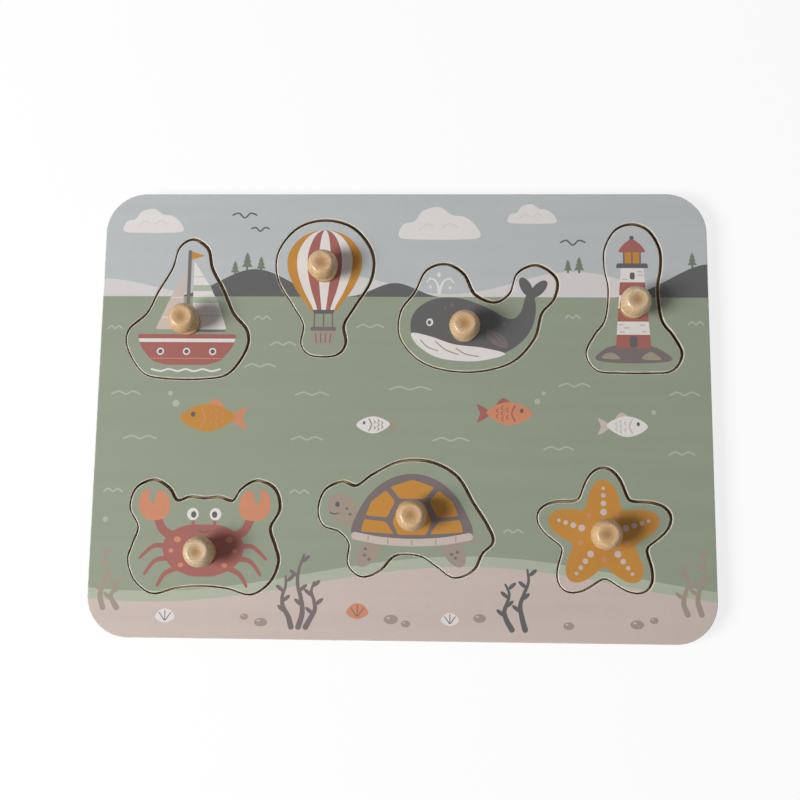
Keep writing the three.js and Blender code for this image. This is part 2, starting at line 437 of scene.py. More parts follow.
def ellipse(x, y, half_width, half_height, turn=0, steps=40):
    lean = math.radians(turn)
    outline = []
    for i in range(steps):
        angle = 2 * math.pi * i / steps
        along = half_width * math.cos(angle)
        across = half_height * math.sin(angle)
        point_x = x + along * math.cos(lean) - across * math.sin(lean)
        point_y = y + along * math.sin(lean) + across * math.cos(lean)
        outline.append((point_x, point_y))
    return outline


def disc(x, y, radius, steps=40):
    return ellipse(x, y, radius, radius, steps=steps)


def rectangle(left, bottom, right, top):
    return [(left, bottom), (right, bottom), (right, top), (left, top)]


def taper(first_half, first_y, last_half, last_y):
    """Four corners about the middle line: a half width at one height and another at the next."""
    return [(-first_half, first_y), (first_half, first_y), (last_half, last_y), (-last_half, last_y)]


def rounded(corners, radius, steps=6):
    """A polygon whose corners are rounded off."""
    outline = []
    count = len(corners)
    for i in range(count):
        before, corner, after = (Vector(corners[(i + k) % count]) for k in (-1, 0, 1))
        start = corner + (before - corner).normalized() * min(radius, (before - corner).length / 2)
        end = corner + (after - corner).normalized() * min(radius, (after - corner).length / 2)
        for step in range(steps + 1):
            t = step / steps
            point = start * (1 - t) ** 2 + corner * 2 * t * (1 - t) + end * t ** 2
            outline.append((point.x, point.y))
    return outline


def stroke(points, width, end_width=None, steps=8, cap_steps=6):
    """A pen line along a smooth curve, with round ends; it may thin out towards its end."""
    path = [Vector(p) for p in spline(points, steps, closed=False)]
    end_width = width if end_width is None else end_width
    last = len(path) - 1
    left, right = [], []
    for i, point in enumerate(path):
        along = (path[min(i + 1, last)] - path[max(i - 1, 0)]).normalized()
        half = (width + (end_width - width) * i / last) / 2
        across = Vector((-along.y, along.x)) * half
        left.append(point + across)
        right.append(point - across)

    def cap(centre, start):
        arm = start - centre
        turns = [Matrix.Rotation(-math.pi * k / cap_steps, 2) for k in range(1, cap_steps)]
        return [centre + turn @ arm for turn in turns]

    around = left + cap(path[-1], left[-1]) + right[::-1] + cap(path[0], right[0])
    return [(p.x, p.y) for p in around]


def board_outline():
    low, high = (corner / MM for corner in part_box("frame_board"))
    outline = []
    for i, (cx, cy) in enumerate([(high.x, high.y), (low.x, high.y), (low.x, low.y), (high.x, low.y)]):
        middle_x = cx - math.copysign(CORNER_RADIUS, cx)
        middle_y = cy - math.copysign(CORNER_RADIUS, cy)
        for step in range(CORNER_STEPS + 1):
            a = math.pi / 2 * (i + step / CORNER_STEPS)
            outline.append((middle_x + CORNER_RADIUS * math.cos(a), middle_y + CORNER_RADIUS * math.sin(a)))
    return outline


def star_outline(half_width, half_height, inset=0):
    """A star with soft arms: its reach swells and shrinks once for each arm."""
    outline = []
    for i in range(STAR_STEPS):
        around = 2 * math.pi * i / STAR_STEPS
        reach = STAR_BODY + STAR_SWELL * math.cos(STAR_ARMS * around)
        angle = math.pi / 2 + around
        x = (reach * half_width - inset) * math.cos(angle)
        y = (reach * half_height - inset) * math.sin(angle)
        outline.append((x, y))
    return outline


# The pieces: width, height, the knob's place from the piece's middle, and the outline in half sizes
PIECES = {
    "sailboat": (60, 70, (0, -7), [
        (0.04, 1), (0.28, 0.86), (0.36, 0.58), (0.56, 0.26), (0.74, -0.08), (0.97, -0.32),
        (0.97, -0.58), (0.7, -0.92), (0.3, -1), (-0.3, -1), (-0.7, -0.92), (-0.97, -0.58),
        (-0.97, -0.32), (-0.68, -0.08), (-0.5, 0.24), (-0.28, 0.58), (-0.18, 0.88),
    ]),
    "balloon": (48, 68, (0, 9), mirrored([
        (0, 1), (0.58, 0.88), (0.96, 0.52), (0.95, 0.12), (0.62, -0.28), (0.4, -0.56),
        (0.44, -0.84), (0.24, -1),
    ])),
    "whale": (78, 54, (-7, -6), [
        (-0.42, 0.98), (-0.2, 0.8), (-0.06, 0.42), (0.2, 0.26), (0.4, 0.44), (0.5, 0.82),
        (0.74, 0.96), (0.97, 0.72), (0.94, 0.36), (0.78, 0.08), (0.68, -0.4), (0.38, -0.84),
        (-0.14, -1), (-0.66, -0.86), (-0.97, -0.42), (-0.98, 0.08), (-0.8, 0.46), (-0.66, 0.86),
    ]),
    "lighthouse": (46, 74, (0, -4), mirrored([
        (0, 1), (0.34, 0.92), (0.56, 0.68), (0.58, 0.42), (0.5, 0.1), (0.58, -0.3),
        (0.82, -0.52), (0.99, -0.76), (0.78, -0.97), (0.3, -1),
    ])),
    "crab": (72, 54, (0, -7), mirrored([
        (0, 0.68), (0.2, 0.7), (0.38, 0.64), (0.5, 0.86), (0.7, 1), (0.93, 0.86), (1, 0.52),
        (0.88, 0.18), (0.95, -0.14), (1, -0.42), (0.9, -0.76), (0.66, -0.98), (0.34, -0.88),
        (0, -0.84),
    ])),
    "turtle": (84, 56, (3, 1), [
        (-1, 0.14), (-0.93, 0.46), (-0.74, 0.6), (-0.57, 0.54), (-0.38, 0.74), (-0.07, 0.96),
        (0.27, 0.96), (0.57, 0.72), (0.76, 0.26), (0.92, -0.12), (0.98, -0.38), (0.86, -0.58),
        (0.76, -0.86), (0.55, -0.98), (0.36, -0.8), (0.16, -0.62), (-0.12, -0.62), (-0.3, -0.88),
        (-0.5, -0.98), (-0.65, -0.78), (-0.64, -0.44), (-0.76, -0.22), (-0.94, -0.12),
    ]),
    "starfish": (66, 64, (0, 0), None),
}


def piece_outline(name):
    width, height, _, points = PIECES[name]
    if points is None:
        return star_outline(width / 2, height / 2)
    return counter_clockwise(spline(placed(points, 0, 0, width / 2, height / 2), OUTLINE_STEPS))


def knob_place(name):
    low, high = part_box(name + "_knob")
    return (low + high) / 2 / MM


def piece_middle(name):
    knob = knob_place(name)
    across, up = PIECES[name][2]
    return knob.x - across, knob.y - up


def cut_out(name):
    """The hole a piece lies in, a little off its middle."""
    x, y = piece_middle(name)
    return moved_by(grown(piece_outline(name), SAW_GAP), x - PIECE_REST[0], y - PIECE_REST[1])


# Meshes

def add_object(name, data):
    added = bpy.data.objects.new(name, data)
    bpy.context.scene.collection.objects.link(added)
    return added


class Solid:
    """Gathers closed shells and makes one object of them; a face has the solid's finish or its own."""

    def __init__(self, finish=None):
        self.finish = finish
        self.vertices, self.faces, self.finishes, self.smooth = [], [], [], []

    def add_ring(self, outline, z):
        start = len(self.vertices)
        self.vertices += [(x * MM, y * MM, z * MM) for x, y in outline]
        return list(range(start, len(self.vertices)))

    def add_face(self, corners, finish, smooth=False):
        self.faces.append(corners)
        self.finishes.append(finish or self.finish)
        self.smooth.append(smooth)

    def skin(self, lower, upper, finish=None):
        """The wall between two rings of as many points."""
        count = len(lower)
        for i in range(count):
            j = (i + 1) % count
            self.add_face((lower[i], lower[j], upper[j], upper[i]), finish, smooth=True)

    def close(self, ring, tip):
        """The fan from a ring to a point on its axis."""
        self.vertices.append(tuple(value * MM for value in tip))
        count = len(ring)
        for i in range(count):
            self.add_face((ring[i], ring[(i + 1) % count], len(self.vertices) - 1), None, smooth=True)

    def cap(self, rings, upwards, finish=None):
        """A flat face inside the first ring and outside the others."""
        loops = [[Vector(self.vertices[i]) / MM for i in ring] for ring in rings]
        flat = [i for ring in rings for i in ring]
        for triangle in tessellate_polygon(loops):
            a, b, c = (flat[k] for k in triangle)
            pa, pb, pc = (Vector(self.vertices[k]) for k in (a, b, c))
            if ((pb - pa).cross(pc - pa).z > 0) != upwards:
                b, c = c, b
            self.add_face((a, b, c), finish)

    def prism(self, outline, bottom, top, finish):
        outline = counter_clockwise(outline)
        lower, upper = self.add_ring(outline, bottom), self.add_ring(outline, top)
        self.skin(lower, upper, finish)
        self.add_face(tuple(upper), finish)
        self.add_face(tuple(reversed(lower)), finish)

    def build(self, name):
        mesh = bpy.data.meshes.new(name)
        mesh.from_pydata(self.vertices, [], self.faces)
        order = sorted(set(self.finishes))
        for finish in order:
            mesh.materials.append(MATERIALS[finish])
        mesh.polygons.foreach_set("material_index", [order.index(finish) for finish in self.finishes])
        mesh.set_sharp_from_angle(angle=math.radians(SMOOTH_ANGLE_DEGREES))
        mesh.polygons.foreach_set("use_smooth", self.smooth)
        return add_object(name, mesh)


def sawn_wall(solid, outline, bottom, top, rim_finish=None):
    """Skins one sawn edge, eased at both faces, and gives back its first and last ring."""
    quarter = [math.pi / 2 * k / EDGE_STEPS for k in range(EDGE_STEPS + 1)]
    easing = [(EDGE_ROUNDING * (1 - math.sin(a)), EDGE_ROUNDING * (1 - math.cos(a))) for a in quarter]
    lower = [(inset, bottom + rise) for inset, rise in easing]
    upper = [(inset, top - rise) for inset, rise in easing[::-1]]
    rings = []
    for inset, height in lower + upper:
        ring = solid.add_ring(grown(outline, -inset), height)
        if rings:
            solid.skin(rings[-1], ring, rim_finish if len(rings) > len(lower) else None)
        rings.append(ring)
    return rings[0], rings[-1]


def stacked(solid, profile, sides, x, y, inward=False):
    """Skins round rings of the profile's radii and heights, and gives back the first and the last."""
    rings = []
    for radius, height in profile:
        outline = disc(x, y, radius, sides)
        ring = solid.add_ring(outline[::-1] if inward else outline, height)
        if rings:
            solid.skin(rings[-1], ring)
        rings.append(ring)
    return rings[0], rings[-1]


def dress(piece, body, node):
    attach(piece, body)
    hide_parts(node)


def make_backing_board():
    solid = Solid("plywood")
    first, last = sawn_wall(solid, board_outline(), *sheet_heights("backing_board"))
    solid.cap([first], False)
    solid.cap([last], True)
    dress(solid.build("backing_sheet"), "board", "backing_board")


def make_frame_board():
    bottom, top = sheet_heights()
    solid = Solid("plywood")
    loops = [sawn_wall(solid, board_outline(), bottom, top, "board_edge")]
    for name in PIECES:
        loops.append(sawn_wall(solid, cut_out(name)[::-1], bottom, top, "picture_edge"))
    solid.cap([first for first, _ in loops], False)
    solid.cap([last for _, last in loops], True, "picture")
    dress(solid.build("frame_sheet"), "board", "frame_board")


def make_piece(name):
    """A sawn piece with the screw's hole: a countersink in its underside and a way through."""
    bottom, top = sheet_heights()
    knob = knob_place(name)
    head, shank = SCREW_HEAD_RADIUS + SCREW_CLEARANCE, SCREW_SHANK_RADIUS + SCREW_CLEARANCE
    seat = bottom + SCREW_SINK
    bore = [(head, bottom), (head, seat), (shank, seat + SCREW_HEAD_HEIGHT), (shank, top)]
    solid = Solid("plywood")
    outer = sawn_wall(solid, moved_by(piece_outline(name), *piece_middle(name)), bottom, top, "picture_edge")
    hole = stacked(solid, bore, HOLE_STEPS, knob.x, knob.y, inward=True)
    solid.cap([outer[0], hole[0]], False)
    solid.cap([outer[1], hole[1]], True, "picture")
    dress(solid.build(name + "_sawn"), name, name + "_piece")


def make_screw(name):
    """A countersunk screw, head down, with a cross recess in its head."""
    low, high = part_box(name + "_screw")
    x, y = (low.x + high.x) / 2 / MM, (low.y + high.y) / 2 / MM
    bottom, tip = low.z / MM, high.z / MM
    profile = [
        (SCREW_HEAD_RADIUS - SCREW_HEAD_EDGE, bottom),
        (SCREW_HEAD_RADIUS, bottom + SCREW_HEAD_EDGE),
        (SCREW_SHANK_RADIUS, bottom + SCREW_HEAD_HEIGHT),
        (SCREW_SHANK_RADIUS, tip - SCREW_TIP_LENGTH),
    ]
    reach, waist = SCREW_RECESS_SPAN / 2, SCREW_RECESS_WIDTH / 2
    end = waist * SCREW_RECESS_TAPER
    arm = [(reach, -end), (reach, end), (waist, waist)]
    cross = []
    for _ in range(4):
        cross += arm
        arm = [(-v, u) for u, v in arm]
    recess = moved_by(cross, x, y)[::-1]
    solid = Solid("screw_steel")
    first, last = stacked(solid, profile, HOLE_STEPS, x, y)
    solid.close(last, (x, y, tip))
    mouth = solid.add_ring(recess, bottom)
    floor = solid.add_ring(recess, bottom + SCREW_RECESS_DEPTH)
    solid.skin(mouth, floor)
    solid.cap([first, mouth], False)
    solid.cap([floor], False)
    dress(solid.build(name + "_countersunk_screw"), name, name + "_screw")


def bezier(pulls, steps):
    """A smooth stretch from the first point up to the last, which is left out, drawn by those between."""
    curve = []
    for step in range(steps):
        points = [Vector(pull) for pull in pulls]
        while len(points) > 1:
            points = [a.lerp(b, step / steps) for a, b in zip(points, points[1:])]
        curve.append(tuple(points[0]))
    return curve


def knob_profile():
    """The knob's half profile, as radius and height: from its foot to just short of the dish's middle."""
    foot, neck, head, dish = KNOB_FOOT_RADIUS, KNOB_NECK_RADIUS, KNOB_HEAD_RADIUS, KNOB_DISH_RADIUS
    throat = (KNOB_NECK_HEIGHT + KNOB_HEAD_HEIGHT) / 2
    shoulder = KNOB_HEAD_HEIGHT + KNOB_SHOULDER_RISE
    rim = (dish, KNOB_HEIGHT)
    floor = KNOB_HEIGHT - KNOB_DISH_DEPTH
    stretches = [
        [(foot - KNOB_FOOT_EDGE, 0), (foot, 0), (foot, KNOB_FOOT_EDGE)],
        [(foot, KNOB_FOOT_EDGE), (foot, KNOB_FOOT_HEIGHT)],
        [(foot, KNOB_FOOT_HEIGHT), (neck, KNOB_FOOT_HEIGHT), (neck, KNOB_NECK_HEIGHT)],
        [(neck, KNOB_NECK_HEIGHT), (neck, throat), (head, throat), (head, KNOB_HEAD_HEIGHT)],
        [(head, KNOB_HEAD_HEIGHT), (head, shoulder), (dish + KNOB_RIM_WIDTH, KNOB_HEIGHT), rim],
        [rim, (dish - KNOB_DISH_EASING, KNOB_HEIGHT), (KNOB_DISH_RUN, floor), (0, floor)],
    ]
    profile = []
    for stretch in stretches:
        profile += bezier(stretch, KNOB_STEPS if len(stretch) > 2 else 1)
    return profile


def make_knob(name):
    """A turned knob with a blind hole for the screw, which ends in a cone over the screw's tip."""
    place = knob_place(name)
    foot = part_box(name + "_knob")[0].z / MM
    profile = [(radius, foot + height) for radius, height in knob_profile()]
    dish_middle = (place.x, place.y, foot + KNOB_HEIGHT - KNOB_DISH_DEPTH)
    hole_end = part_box(name + "_screw")[1].z / MM + SCREW_CLEARANCE
    hole_radius = SCREW_SHANK_RADIUS + SCREW_CLEARANCE
    bore = [(hole_radius, foot), (hole_radius, hole_end - SCREW_TIP_LENGTH)]
    solid = Solid("knob_wood")
    first, last = stacked(solid, profile, KNOB_SIDES, place.x, place.y)
    mouth, inner = stacked(solid, bore, HOLE_STEPS, place.x, place.y, inward=True)
    solid.cap([first, mouth], False)
    solid.close(inner, (place.x, place.y, hole_end))
    solid.close(last, dish_middle)
    dress(solid.build(name + "_turned_knob"), name, name + "_knob")


# The print: thin films of ink on the sheet and the pieces

class Print:
    """Films of ink on one body, each drawn over the ones before it, about a middle point."""

    def __init__(self, body, middle=(0, 0)):
        self.body, self.middle = body, middle
        self.sheet_top = sheet_heights()[1]
        self.layer = 0
        self.solid = Solid()

    def start_motif(self):
        """Goes back to the bare sheet, for a motif that lies clear of the others."""
        self.layer = 0

    def draw(self, ink_name, *outlines):
        self.layer += 1
        bottom, top = self.sheet_top - INK_SINK, self.sheet_top + INK_STEP * self.layer
        for outline in outlines:
            self.solid.prism(moved_by(outline, *self.middle), bottom, top, ink_name)

    def finish(self):
        printed = self.solid.build(self.body + "_print_films")
        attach(printed, self.body)


def both_sides(outline, middle=0):
    return outline, [(2 * middle - x, y) for x, y in outline]


def draw_sailboat(art):
    art.draw("taupe", rounded(rectangle(-1, -14, 0.8, 30), 0.6))
    art.draw("mustard", rounded([(0.8, 29.4), (7.4, 27.2), (0.8, 25)], 0.5))
    main_sail = [(2.2, 24.5), (9, 14), (15, 3), (19.5, -10.5), (2.2, -10.5)]
    art.draw("white", rounded(main_sail, 1.2))
    art.draw("pale_sage", rounded([(2.2, 9), (12.1, 9), (10.4, 12), (2.2, 12)], 0.2))
    art.draw("pale_sage", rounded([(2.2, 3), (15, 3), (13.7, 6), (2.2, 6)], 0.2))
    art.draw("sand", stroke([(2.8, -3.6), (17, -3.6)], 0.4), stroke([(2.8, 16.4), (7.2, 16.4)], 0.4))
    art.draw("sand", rounded([(-2.4, 19), (-8, 8), (-16, -10.5), (-2.4, -10.5)], 1.2))
    art.draw("white", stroke([(-3, -4.4), (-12.6, -4.4)], 0.4), stroke([(-3, 5.6), (-8.4, 5.6)], 0.4))
    art.draw("taupe", stroke([(-0.2, -11.3), (18.6, -11.3)], 0.9))
    art.draw("terracotta", rounded(mirrored([(25, -13), (22.5, -20), (17, -26.5), (10, -28.5)]), 2))
    art.draw("white", rounded(taper(24.2, -15.2, 23.6, -17), 0.3))
    art.draw("coral", stroke([(-17.4, -25.2), (17.4, -25.2)], 0.4))
    portholes = (-13, 0, 13)
    art.draw("white", *(disc(x, -21.7, 1.8) for x in portholes))
    art.draw("charcoal", *(disc(x, -21.7, 1.1) for x in portholes))
    crests = (-17, -12.5, -8.5, -4, 0, 4, 8.5, 12.5, 17)
    swell = [(x, -31.6 if k % 2 else -30.6) for k, x in enumerate(crests)]
    art.draw("white", stroke(swell, 0.9))


def draw_balloon(art):
    envelope = spline(mirrored([
        (0, 29.5), (10.5, 26.6), (17.6, 18.5), (18.4, 9.5), (14.6, 0), (8.6, -8.6), (5.2, -12.5),
    ]), 10)
    for stripe, share in (("mustard", 1), ("white", 0.74), ("terracotta", 0.46), ("white", 0.16)):
        art.draw(stripe, [(x * share, y) for x, y in envelope])
    art.draw("charcoal", rounded(taper(5.4, -11.4, 4.8, -13.4), 0.6))
    outer_rope = stroke([(4.4, -13.4), (4.6, -20.5)], 0.7)
    art.draw("taupe", *both_sides(outer_rope), stroke([(0, -13.4), (0, -20.5)], 0.7))
    art.draw("leaf", rounded(taper(5.8, -20.5, 4.8, -29), 1.6))
    art.draw("taupe", rounded(taper(6.4, -20, 6.4, -22), 0.9))
    weave = [stroke([(x, -23.4), (0.82 * x, -27.9)], 0.5) for x in (-3.9, -1.3, 1.3, 3.9)]
    art.draw("taupe", *weave)


def draw_whale(art):
    body = [
        (-33.5, -5), (-31, 3.4), (-22, 9.2), (-9, 9.6), (4, 5), (15, -0.6), (20.6, 2.6), (23.4, 11),
        (27.2, 11), (28, 2), (24.6, -8), (15, -16.6), (-2, -22), (-19, -20.5), (-30, -14),
    ]
    belly = [
        (-33, -8), (-24, -9.5), (-12, -13.5), (2, -15.2), (13, -18.4), (-2, -22), (-19, -20.5),
        (-29.6, -14.4),
    ]
    art.draw("charcoal", spline(body, 10))
    art.draw("charcoal", ellipse(23.4, 15.4, 5.4, 2.7, turn=118))
    art.draw("charcoal", ellipse(29.6, 14.4, 5.6, 2.7, turn=46))
    art.draw("white", spline(belly, 10))
    creases = [((-28.5, -11.4), (-20, -16.8)), ((-21, -12.2), (-10, -18.6)), ((-11, -15.6), (0, -19.6))]
    for start, end in creases:
        middle = ((start[0] + end[0]) / 2 - 0.8, (start[1] + end[1]) / 2 - 0.8)
        art.draw("leaf", stroke([start, middle, end], 0.55))
    flipper = [(3.6, -6), (9, -7.4), (13.6, -11.6), (14.2, -15.2), (9.6, -14.8), (4.8, -11)]
    art.draw("taupe", spline(flipper, 8))
    art.draw("charcoal", stroke([(6.4, -9), (10.6, -12.8)], 0.4), stroke([(8.8, -8.6), (12.4, -12)], 0.4))
    art.draw("taupe", ellipse(-13, 6.4, 1, 0.8), ellipse(-16.4, 5, 0.7, 0.6), ellipse(12.6, -3.4, 0.9, 0.7))
    art.draw("white", ellipse(-24, -2.5, 1.7, 1.9))
    art.draw("charcoal", ellipse(-24.2, -2.6, 0.9, 1.1))
    left_spout = [(-19.6, 12.2), (-19.8, 15), (-21.2, 18.4), (-23.8, 19.6), (-25.6, 17.8)]
    right_spout = [(-19.2, 12.2), (-18.8, 15), (-17, 18.4), (-14.2, 19.6), (-12.4, 17.6)]
    for spout in (left_spout, right_spout):
        art.draw("white", stroke(spout, 1.5, 0.7))
    drops = [(-19.6, 21.6, 0.9, 1.2), (-23.8, 15.4, 0.6, 0.9), (-14, 15, 0.6, 0.9)]
    art.draw("white", *(ellipse(*drop) for drop in drops))


def draw_lighthouse(art):
    rock = [
        (-18.5, -30.6), (-14.5, -25.8), (-8, -23.5), (0, -22.4), (8, -23.8), (14, -26.4), (18.5, -30.8),
        (9, -32.4), (-9, -32.4),
    ]
    art.draw("taupe", spline(rock, 8))
    tower_foot, tower_top, foot_half, narrowing = -25, 15.5, 8.6, 0.075

    def tower_band(low, high):
        low_half, high_half = (foot_half - (y - tower_foot) * narrowing for y in (low, high))
        return taper(low_half, low, high_half, high)

    art.draw("white", rounded(tower_band(tower_foot, tower_top), 0.4))
    art.draw("terracotta", *(tower_band(low, low + 6.6) for low in (tower_foot, -11.8, 1.4)))
    bricks = [
        (-6, -13.4), (-3.2, -15), (4.6, -13.6), (5.4, -16.8), (-5.4, -17), (-3.8, 9.4), (3.6, 13.4),
        (4, 11.6),
    ]
    art.draw("sand", *(stroke([(x - 1, y), (x + 1, y)], 0.7) for x, y in bricks))
    art.draw("charcoal", rounded(rectangle(-1.9, -24.8, 1.9, -19), 1.7))
    art.draw("charcoal", rounded(rectangle(-1.2, 9.4, 1.2, 13), 1.1))
    art.draw("mustard", rounded(rectangle(-4.4, 17, 4.4, 24), 0.4))
    art.draw("taupe", *(rounded(rectangle(x - 0.4, 17, x + 0.4, 24), 0.1) for x in (-4, 0, 4)))
    art.draw("charcoal", rounded(taper(8, 15.2, 7.4, 17.6), 0.7))
    art.draw("terracotta", spline(mirrored([(0, 30), (2.8, 28.4), (5.2, 26), (6.4, 23.4), (2.4, 23.2)]), 8))
    art.draw("charcoal", disc(0, 30.6, 1.1))
    art.draw("leaf", spline([(-15.5, -30), (-12.5, -27.4), (-9, -28), (-7, -30.6)], 8),
             spline([(4, -30.4), (7.5, -27), (11, -28.4), (13, -30.8)], 8))


def draw_crab(art):
    legs = [
        [(13, -6), (23, -4), (30.5, -10)],
        [(13, -10), (22.5, -11), (28, -17.6)],
        [(11, -14), (18, -17.4), (21.5, -23)],
    ]
    for leg in legs:
        art.draw("terracotta", *both_sides(stroke(leg, 3, 1.4)))
    art.draw("terracotta", *both_sides(stroke([(13, 0), (19.5, 3.2), (23, 10)], 4.4, 4)))
    claw = [
        (21.5, 8.4), (28, 8.6), (32, 14), (31, 20.6), (27.2, 23.4), (27, 17.8), (24.6, 16.4), (23.4, 22),
        (19.4, 21.6), (16.8, 16.2), (17.8, 10.6),
    ]
    art.draw("coral", *both_sides(spline(claw, 8)))
    art.draw("terracotta", *both_sides(stroke([(5, 4), (5.4, 9.5)], 1.5)))
    shell = [(0, 6.2), (9, 5.6), (17, 1.4), (19.6, -5.6), (15.6, -13.6), (7, -18), (0, -18.6)]
    art.draw("terracotta", spline(mirrored(shell), 10))
    spots = [(12.6, -1, 1.7, 1.4), (15.4, -6.4, 1.2, 1), (10.6, -13.2, 1.4, 1.1)]
    art.draw("coral", *(side for spot in spots for side in both_sides(ellipse(*spot))))
    art.draw("charcoal", stroke([(-2.4, 3.4), (0, 2.3), (2.4, 3.4)], 0.6))
    art.draw("white", *both_sides(ellipse(5.5, 11.2, 2.8, 3)))
    art.draw("charcoal", *both_sides(ellipse(5.1, 11, 1.3, 1.6)))


def draw_turtle(art):
    art.draw("leaf", ellipse(-17.5, -15.6, 4.6, 8.8, turn=-36), ellipse(23, -15.6, 4.6, 8.2, turn=32))
    art.draw("leaf", rounded([(27, -6), (37, -10.6), (27, -12)], 1.4))
    head = [(-38, 5), (-36, 10.4), (-30.4, 12), (-25.6, 8.6), (-22, 2), (-22, -7), (-27, -4), (-35, -0.2)]
    art.draw("leaf", spline(head, 10))
    spots = [
        (-19.6, -17.6), (-17.4, -19.6), (-19.2, -14.6), (24, -18.6), (22, -16.8), (24.8, -15.8), (-28.4, 4.6),
        (-26.8, 1.8),
    ]
    art.draw("taupe", *(ellipse(x, y, 0.8, 0.7, steps=20) for x, y in spots))
    art.draw("charcoal", ellipse(-33, 6.6, 1.1, 1.3))
    art.draw("charcoal", stroke([(-36.4, 2.6), (-34.4, 1.9), (-32.4, 2.3)], 0.6))
    shell = [(-24.5, -9.5), (-22, 5), (-11.5, 17), (3, 21.6), (17.5, 17), (27.8, 5), (30.5, -9.5), (3, -12.6)]
    art.draw("taupe", spline(shell, 10))
    shell_middle = 3
    plates = [
        [(-3.2, 9.6), (9.2, 9.6), (13.6, 15.2), (3, 18.8), (-7.6, 15.2)],
        *both_sides([(-5.2, 8.2), (-9.6, 13.6), (-16.6, 8.2), (-19.4, 1.4), (-9.2, 0.4)], shell_middle),
        *both_sides([(-20, -0.4), (-9.6, -1.6), (-5.6, -7.4), (-21.6, -6.4)], shell_middle),
        [(-3.6, -7.8), (9.6, -7.8), (12.4, -2), (9, 7.6), (-3, 7.6), (-6.4, -2)],
    ]
    art.draw("mustard", *(rounded(plate, 1.3) for plate in plates))
    art.draw("sand", stroke([(-24.4, -8.4), (-12, -10.6), (3, -11.4), (18, -10.6), (30.4, -8.4)], 3.6))
    ticks = [(-18, -9.6), (-8.5, -10.9), (3, -11.4), (14.5, -10.9), (24, -9.6)]
    art.draw("leaf", *(stroke([(x, y - 1.1), (x, y + 1.1)], 0.5) for x, y in ticks))


def draw_starfish(art):
    width, height, _, _ = PIECES["starfish"]
    art.draw("mustard", star_outline(width / 2, height / 2, inset=5))
    spots = [(11, 1.6), (15.2, 1.35), (19, 1.1), (22.4, 0.85)]
    for arm in range(STAR_ARMS):
        along = math.pi / 2 + 2 * math.pi * arm / STAR_ARMS
        across, up = math.cos(along), math.sin(along)
        art.draw("sand", *(disc(reach * across, reach * up, size, steps=24) for reach, size in spots))
        between = along + math.pi / STAR_ARMS
        art.draw("coral", disc(11.6 * math.cos(between), 11.6 * math.sin(between), 1.2, steps=24))


def cloud(x, y, size):
    puffs = [
        (-1, -0.22), (-0.92, 0.1), (-0.62, 0.2), (-0.42, 0.46), (-0.02, 0.56), (0.3, 0.36), (0.62, 0.3),
        (0.9, 0.08), (1, -0.22), (0.5, -0.28), (-0.5, -0.28),
    ]
    return spline(placed(puffs, x, y, size / 2, size / 2), 8)


def draw_fish(art, x, y, length, facing, body_ink, fin_ink):
    """A fish that looks to the left, or to the right if facing is -1."""
    art.start_motif()

    def at(points):
        return placed(points, x, y, facing * length / 2, length / 2)

    tail = at([(0.5, 0), (0.98, 0.34), (0.88, 0), (0.98, -0.34)])
    fin = at([(-0.3, 0.3), (0.04, 0.56), (0.28, 0.3)])
    body = at([(-1, 0), (-0.6, 0.32), (0, 0.4), (0.64, 0.04), (0, -0.4), (-0.6, -0.32)])
    gill = at([(-0.38, 0.28), (-0.26, 0), (-0.38, -0.28)])
    eye_x, eye_y = at([(-0.62, 0.1)])[0]
    scales = []
    for u, rows in ((-0.1, (-0.14, 0.14)), (0.08, (-0.2, 0, 0.2)), (0.26, (-0.1, 0.1))):
        for v in rows:
            scales.append(stroke(at([(u - 0.03, v + 0.07), (u + 0.03, v), (u - 0.03, v - 0.07)]), 0.5))
    art.draw(fin_ink, spline(tail, 8), spline(fin, 8))
    art.draw(body_ink, spline(body, 8))
    art.draw("charcoal", ellipse(eye_x, eye_y, 0.034 * length, 0.04 * length, steps=20))
    art.draw(fin_ink, stroke(gill, 0.7))
    art.draw(fin_ink, *scales)


def draw_strand(art, x, y, height, lean, phase, ink_name):
    """A strand of weed that sways as it rises and thins out, with leaves to either side."""
    sway, turns = 1.6, 7

    def along(share):
        return x + lean * share + sway * math.sin(turns * share + phase), y + height * share

    art.draw(ink_name, stroke([along(k / 5) for k in range(6)], 2.8, 1))
    leaves = []
    for k, share in enumerate((0.3, 0.5, 0.7, 0.9)):
        stem_x, stem_y = along(share)
        side = 1 if k % 2 else -1
        leaves.append(ellipse(stem_x + 2 * side, stem_y + 1.4, 2.4, 0.95, turn=40 * side, steps=20))
    art.draw(ink_name, *leaves)


def draw_weed(art, x, y, height, ink_name, strands):
    """A clump of weed; each strand has its shift to the side, its share of the height and its lean."""
    art.start_motif()
    for shift, share, lean in strands:
        draw_strand(art, x + shift, y, height * share, lean, shift, ink_name)


def draw_shell(art, x, y, size, ink_name):
    """A scallop: a fan over a short hinge, with three ribs."""
    art.start_motif()
    fan = [math.pi * (0.02 + 0.96 * k / 8) for k in range(9)]
    edge = [((1 if k % 2 else 0.94) * math.cos(angle), math.sin(angle)) for k, angle in enumerate(fan)]
    hinge = [(-0.3, -0.32), (0.3, -0.32)]
    art.draw(ink_name, spline(placed(edge + hinge, x, y, size, size), 6))
    ribs = []
    for angle in fan[2:7:2]:
        rib = [(0.1 * math.cos(angle), -0.1), (0.82 * math.cos(angle), 0.82 * math.sin(angle))]
        ribs.append(stroke(placed(rib, x, y, size, size), 0.45))
    art.draw("taupe", *ribs)


